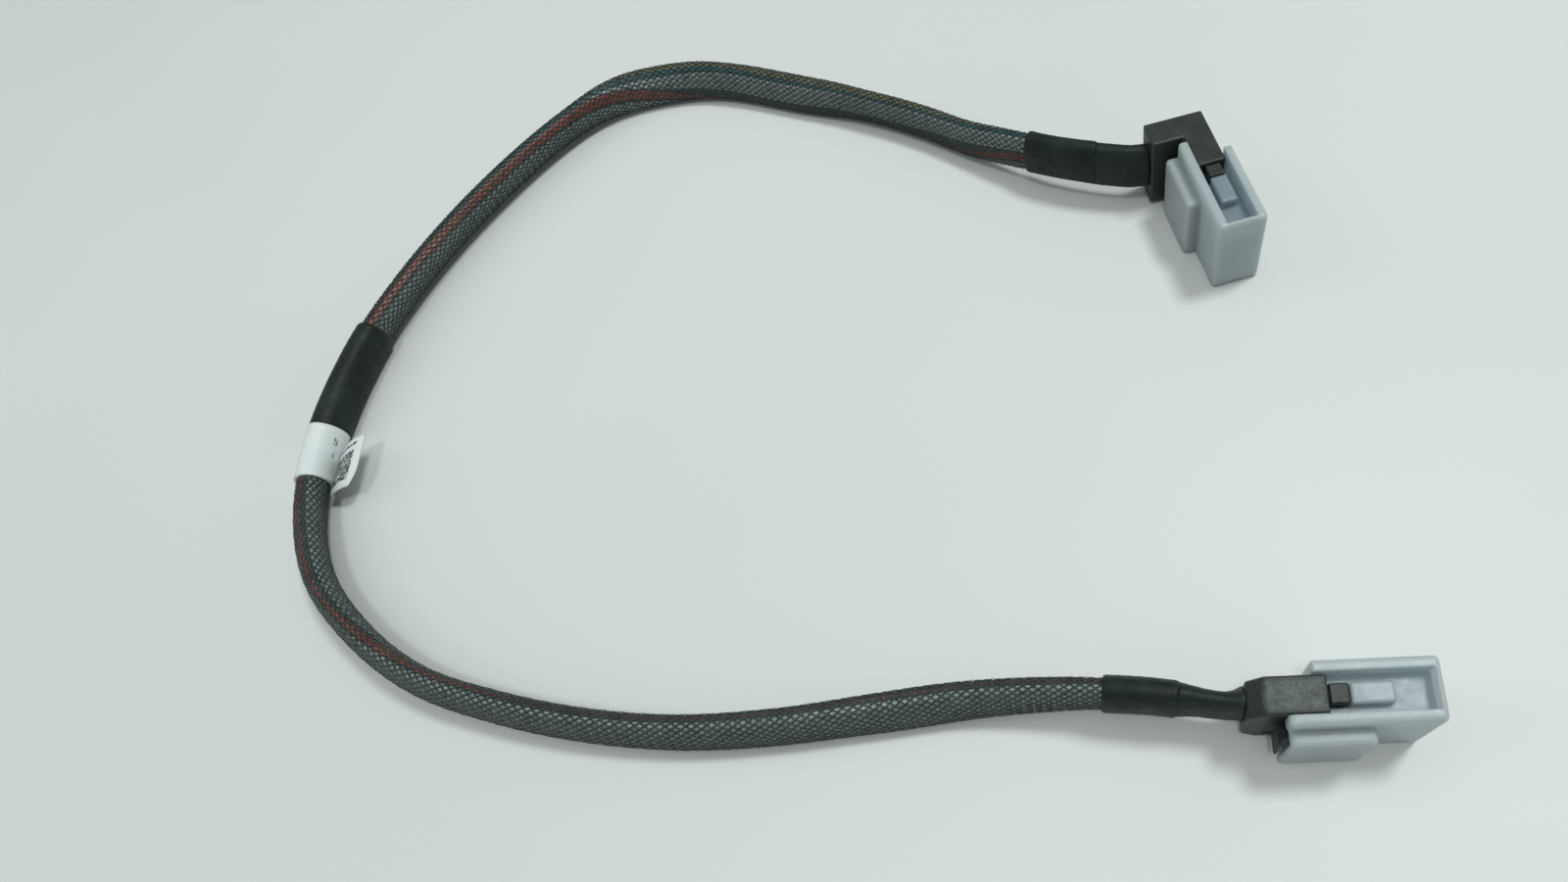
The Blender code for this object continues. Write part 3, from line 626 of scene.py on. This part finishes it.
def card_material(plug):
    """Green lacquered board with gold pads on both faces."""
    material, tree, shader = new_material(plug.name + "_card", (0.02, 0.16, 0.07), roughness=0.35)
    _, y, _ = plug_axes(tree, plug)
    pads = math_node(tree, "GREATER_THAN", math_node(tree, "ABSOLUTE", y), CARD_FACE)
    board = ramp(tree, noise(tree, scale=500, detail=3), *BOARD_TONES)
    tree.links.new(mixed(tree, pads, board, GOLD_TONE), shader.inputs["Base Color"])
    tree.links.new(pads, shader.inputs["Metallic"])
    return material


def tongue_material():
    """Glass-filled black plastic of the plug's mouth."""
    material, tree, shader = new_material("tongue_black", (0.018, 0.022, 0.022), roughness=0.5,
                                          Specular_IOR_Level=0.35)
    grain = noise(tree, scale=1600, detail=3)
    tree.links.new(ramp(tree, grain, *TONGUE_TONES), shader.inputs["Base Color"])
    bump(tree, shader, grain, height=0.02, normal=soft_edges(tree, radius=0.15))
    return material


# Pieces


def build_wires():
    """The bundle of foil-wrapped pairs and jacketed wires, one closed tube from plug to plug."""
    materials = {"foil": foil_material()}
    for name, tones in JACKET_TONES.items():
        materials[name] = jacket_material(name + "_wires", tones)
    before, after = WIRES_SHORT_OF_ENDS
    along = np.arange(before, TOTAL - after, WIRE_STEP)
    starts = [read_table(table, along) for _, _, table in RIBBONS]
    angles, kinds = [], []
    for (name, columns, _), start, end in zip(RIBBONS, starts, [*starts[1:], starts[0] + 360]):
        angles.append(start[:, None] + (end - start)[:, None] * np.arange(columns) / columns)
        kinds += [list(materials).index(name)] * columns
    into_ribbon = np.concatenate([angle - angle[:, :1] for angle in angles], axis=1)
    across_wire = into_ribbon / WIRE_DEGREES % 1 * 2 - 1
    depth = WIRES_UNDER_BRAID + WIRE_BULGE * (1 - np.sqrt(1 - across_wire ** 2 * WIRE_ROUNDNESS))
    angle = np.concatenate(angles, axis=1) - np.degrees(section(along)[2])[:, None]
    vertices = on_cable(np.broadcast_to(along[:, None], angle.shape), angle, -depth)
    faces = grid_faces(len(along), len(kinds), ends=True)
    kinds = kinds * (len(along) - 1) + [0, 0]
    return new_object("cable_wires", vertices, faces, list(materials.values()), kinds)


def strand_points(along, way, strand, profile):
    """One strand's points, its flat profile swept along a helix that weaves over and under the other way's."""
    angle = way * 360 * along / STRAND_PITCH + 360 * strand / STRANDS
    waves = STRANDS * 2 * along / STRAND_PITCH + way * strand
    height = way * STRAND_WEAVE * np.cos(np.pi * waves)
    width, tall, _ = section(along)
    girth = np.pi * (3 * (width + tall) - np.sqrt((3 * width + tall) * (width + 3 * tall)))
    slope = girth / STRAND_PITCH
    size = np.sqrt(1 + slope ** 2)
    shift_along = -way * slope / size
    shift_angle = 360 / (girth * size)
    places = along[:, None] + shift_along[:, None] * profile[None, :, 0]
    angles = angle[:, None] + shift_angle[:, None] * profile[None, :, 0]
    return on_cable(places, angles, height[:, None] + profile[None, :, 1] - STRAND_SINK)


def build_weave(name, start, end, widen, material):
    """An open braid of monofilament strands that run both ways round the cable."""
    profile = np.array(STRAND_PROFILE) * (widen, 1)
    count = int((end - start) / STRAND_PITCH * STRAND_SAMPLES) + 1
    along = start + np.arange(count) * (STRAND_PITCH / STRAND_SAMPLES)
    vertices, faces = [], []
    for way in (1, -1):
        for strand in range(STRANDS):
            faces += grid_faces(count, len(profile), len(vertices) * count * len(profile), ends=True)
            vertices.append(strand_points(along, way, strand, profile).reshape(-1, 3))
    return new_object(name, np.concatenate(vertices), faces, [material])


def sleeve_relief(places, angles, bumps, wrinkles):
    """Height of a sleeve's outside over its plain form: crossing wrinkles, and a soft swelling at each bump."""
    waves = np.radians(angles * WRINKLES_ROUND)
    slant = places * WRINKLE_SLANT
    relief = wrinkles * np.sin(waves + slant) * np.sin(waves - slant)
    for place, angle, reach, reach_round, height in bumps:
        off_angle = (angles - angle + 180) % 360 - 180
        relief = relief + height * np.exp(-((places - place) / reach) ** 2 - (off_angle / reach_round) ** 2)
    return relief


def build_sleeve(name, material, start, end, bulge, lip=SLEEVE_LIP, bumps=(), wrinkles=WRINKLE_HEIGHT):
    """A closed tube over the braid: out along it, and back on its inside."""
    rows = int(round((end - start) / SLEEVE_STEP)) + 1
    along = np.linspace(start, end, rows)
    outside = np.interp(along, *np.array(bulge, float).T)
    outside[[0, -1]] -= lip
    along = np.concatenate([[start], along, [end], along[::-1]])
    lifts = np.concatenate([[SLEEVE_END_LIFT], outside, [SLEEVE_END_LIFT], np.full(rows, SLEEVE_INNER_LIFT)])
    places = np.broadcast_to(along[:, None], (len(along), SLEEVE_COLUMNS))
    angles = np.broadcast_to(np.arange(SLEEVE_COLUMNS) * 360 / SLEEVE_COLUMNS, places.shape)
    outer = (np.arange(len(along)) > 1) & (np.arange(len(along)) < rows)
    relief = sleeve_relief(places, angles, bumps, wrinkles)
    vertices = on_cable(places, angles, lifts[:, None] + relief * outer[:, None])
    faces = grid_faces(len(along), SLEEVE_COLUMNS)
    last = (len(along) - 1) * SLEEVE_COLUMNS
    for column in range(SLEEVE_COLUMNS):
        beside = (column + 1) % SLEEVE_COLUMNS
        faces.append((last + column, last + beside, beside, column))
    return new_object(name, vertices, faces, [material])


def flag_points(outward, down, lift):
    """Points of the label's flag: shares outward from the cable and down along it, raised by lift."""
    inner_top, inner_low, outer_top, outer_low = np.array(FLAG_CORNERS)
    outward, down = [np.asarray(share, float)[..., None] for share in (outward, down)]
    outward = outward * (1 - FLAG_CUT * np.clip((down - FLAG_CUT_START) / (1 - FLAG_CUT_START), 0, 1) ** 2)
    inner = inner_top + (inner_low - inner_top) * down
    outer = outer_top + (outer_low - outer_top) * down
    points = inner + (outer - inner) * outward
    rate, shift = FLAG_RIPPLE_PHASE
    bend = (FLAG_BOW * np.sin(np.pi * outward) - FLAG_DROOP * outward ** FLAG_DROOP_POWER
            + FLAG_RIPPLE * np.sin(rate * down + shift))
    points[..., 2] += (bend + lift)[..., 0]
    return points * MM


def patch_rim():
    """Numbers of the points round a patch's edge, in order."""
    steps, size = PATCH_STEPS, PATCH_STEPS ** 2
    return [*range(steps), *range(2 * steps - 1, size, steps), *range(size - 2, size - steps - 1, -1),
            *range(size - 2 * steps, 0, -steps)]


def build_patch(name, field, base, thickness, material):
    """A thin closed sheet over a field of the flag."""
    (near, far), (top, low) = field
    grid = np.linspace(0, 1, PATCH_STEPS)
    outward, down = np.meshgrid(near + (far - near) * grid, top + (low - top) * grid)
    sides = [flag_points(outward, down, lift).reshape(-1, 3) for lift in (base + thickness, base)]
    faces = grid_faces(PATCH_STEPS, PATCH_STEPS, around=False)
    size = PATCH_STEPS ** 2
    faces += [tuple(reversed([corner + size for corner in face])) for face in faces]
    rim = patch_rim()
    faces += [(here, here + size, beside + size, beside) for here, beside in zip(rim, rim[1:] + rim[:1])]
    return new_object(name, np.concatenate(sides), faces, [material])


def build_marks(name, material):
    """Short printed strokes on the label's wrap."""
    vertices, faces = [], []
    for place, angle, length, width in PRINTED_MARKS:
        along, angles = np.meshgrid(np.linspace(place, place + length, MARK_STEPS),
                                    np.linspace(angle, angle + width, MARK_STEPS))
        faces += grid_faces(MARK_STEPS, MARK_STEPS, len(vertices) * MARK_STEPS ** 2, around=False)
        vertices.append(on_cable(along, angles, MARK_LIFT).reshape(-1, 3))
    return new_object(name, np.concatenate(vertices), faces, [material])


def build_label():
    """The label wrapped round the cable, its end standing out as a flag, and the print on it."""
    paper, ink = paper_material(), ink_material()
    return [
        build_sleeve("label_wrap", paper, **LABEL_WRAP),
        build_patch("label_flag", WHOLE_FLAG, 0, FLAG_THICKNESS, paper),
        build_patch("label_square", PRINTED_SQUARE, FLAG_THICKNESS, INK_THICKNESS, ink),
        build_patch("label_bar", PRINTED_BAR, FLAG_THICKNESS, INK_THICKNESS, ink),
        build_marks("label_marks", ink),
    ]


def add_cable():
    """The whole cable between the plugs, built in place of its CAD solids, which it hides."""
    wires = build_wires()
    strands, shrink = strand_material(), shrink_material()
    upper = build_weave("upper_braid_weave", *UPPER_BRAID, strands)
    lower = build_weave("lower_braid_weave", *LOWER_BRAID, strands)
    sleeves = {node: build_sleeve(node + "_tube", shrink, **sizes) for node, sizes in SLEEVES.items()}
    label = build_label()

    path = centre(np.arange(0.0, TOTAL, PATH_STEP))[0] * MM
    for piece in (wires, upper, lower, *sleeves.values(), *label):
        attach(piece, "cable_assembly")
    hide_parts("upper_braid", "lower_braid")
    for node, piece in sleeves.items():
        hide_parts(node)
    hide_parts("upper_braid")
    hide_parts("lower_braid")
    for piece in label:
        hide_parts("label")


def finish_node(frame, node, material):
    """Gives a CAD node its material."""
    piece = frame["nodes"][node]
    piece.data.materials.clear()
    piece.data.materials.append(material)


def finish_plugs(frame):
    """Gives both plugs' CAD nodes their materials."""
    finish_node(frame, "straight_shell", shell_material(STRAIGHT, True))
    finish_node(frame, "angled_shell", shell_material(ANGLED, False))
    for plug in (STRAIGHT, ANGLED):
        finish_node(frame, plug.name + "_dust_cap", cap_material(plug))
        finish_node(frame, plug.name + "_paddle_card", card_material(plug))
        finish_node(frame, plug.name + "_tongue", tongue_material())
        finish_node(frame, plug.name + "_latch_spring", latch_material())


# Stage


def build_floor():
    """A wide, pale tabletop."""
    material, tree, shader = new_material("tabletop", (0.65, 0.66, 0.655), roughness=0.62)
    tree.links.new(ramp(tree, noise(tree, scale=3.5, detail=3), *TABLE_TONES), shader.inputs["Base Color"])
    bump(tree, shader, noise(tree, scale=1300, detail=3), height=0.01)
    side = TABLE_HALF_SIDE
    corners = [(-side, -side, 0), (side, -side, 0), (side, side, 0), (-side, side, 0)]
    return new_object("tabletop", corners, [(0, 1, 2, 3)], [material])


def add_lamp(name, place, aim, size, power):
    """A soft area lamp that looks at a point."""
    data = bpy.data.lights.new(name, "AREA")
    data.shape = "DISK"
    data.size = size
    data.energy = power
    data.color = LAMP_TONE
    lamp = bpy.data.objects.new(name, data)
    lamp.location = place
    way = np.array(aim, float) - np.array(place, float)
    flat = math.hypot(way[0], way[1])
    lamp.rotation_euler = (math.atan2(flat, -way[2]), 0, math.atan2(-way[0], way[1]))
    bpy.context.scene.collection.objects.link(lamp)


def add_world():
    """An even pale surround."""
    world = bpy.data.worlds.new("surround")
    world.use_nodes = True
    background = world.node_tree.nodes["Background"]
    background.inputs["Color"].default_value = (*SURROUND_TONE, 1)
    background.inputs["Strength"].default_value = SURROUND_STRENGTH
    bpy.context.scene.world = world


def add_camera():
    """The photograph's own view."""
    data = bpy.data.cameras.new("camera")
    data.lens = CAMERA_LENS
    data.sensor_width = CAMERA_SENSOR
    data.shift_x, data.shift_y = CAMERA_SHIFT
    data.clip_start = CAMERA_NEAR
    camera = bpy.data.objects.new("camera", data)
    camera.location = CAMERA_PLACE
    camera.rotation_euler = [math.radians(angle) for angle in CAMERA_TURN]
    bpy.context.scene.collection.objects.link(camera)
    bpy.context.scene.camera = camera


def main():
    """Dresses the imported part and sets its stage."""
    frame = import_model()
    add_camera()
    add_cable()
    finish_plugs(frame)

    build_floor()
    add_world()
    for lamp in LAMPS:
        add_lamp(*lamp)

    bpy.context.scene.view_settings.view_transform = "Standard"


main()
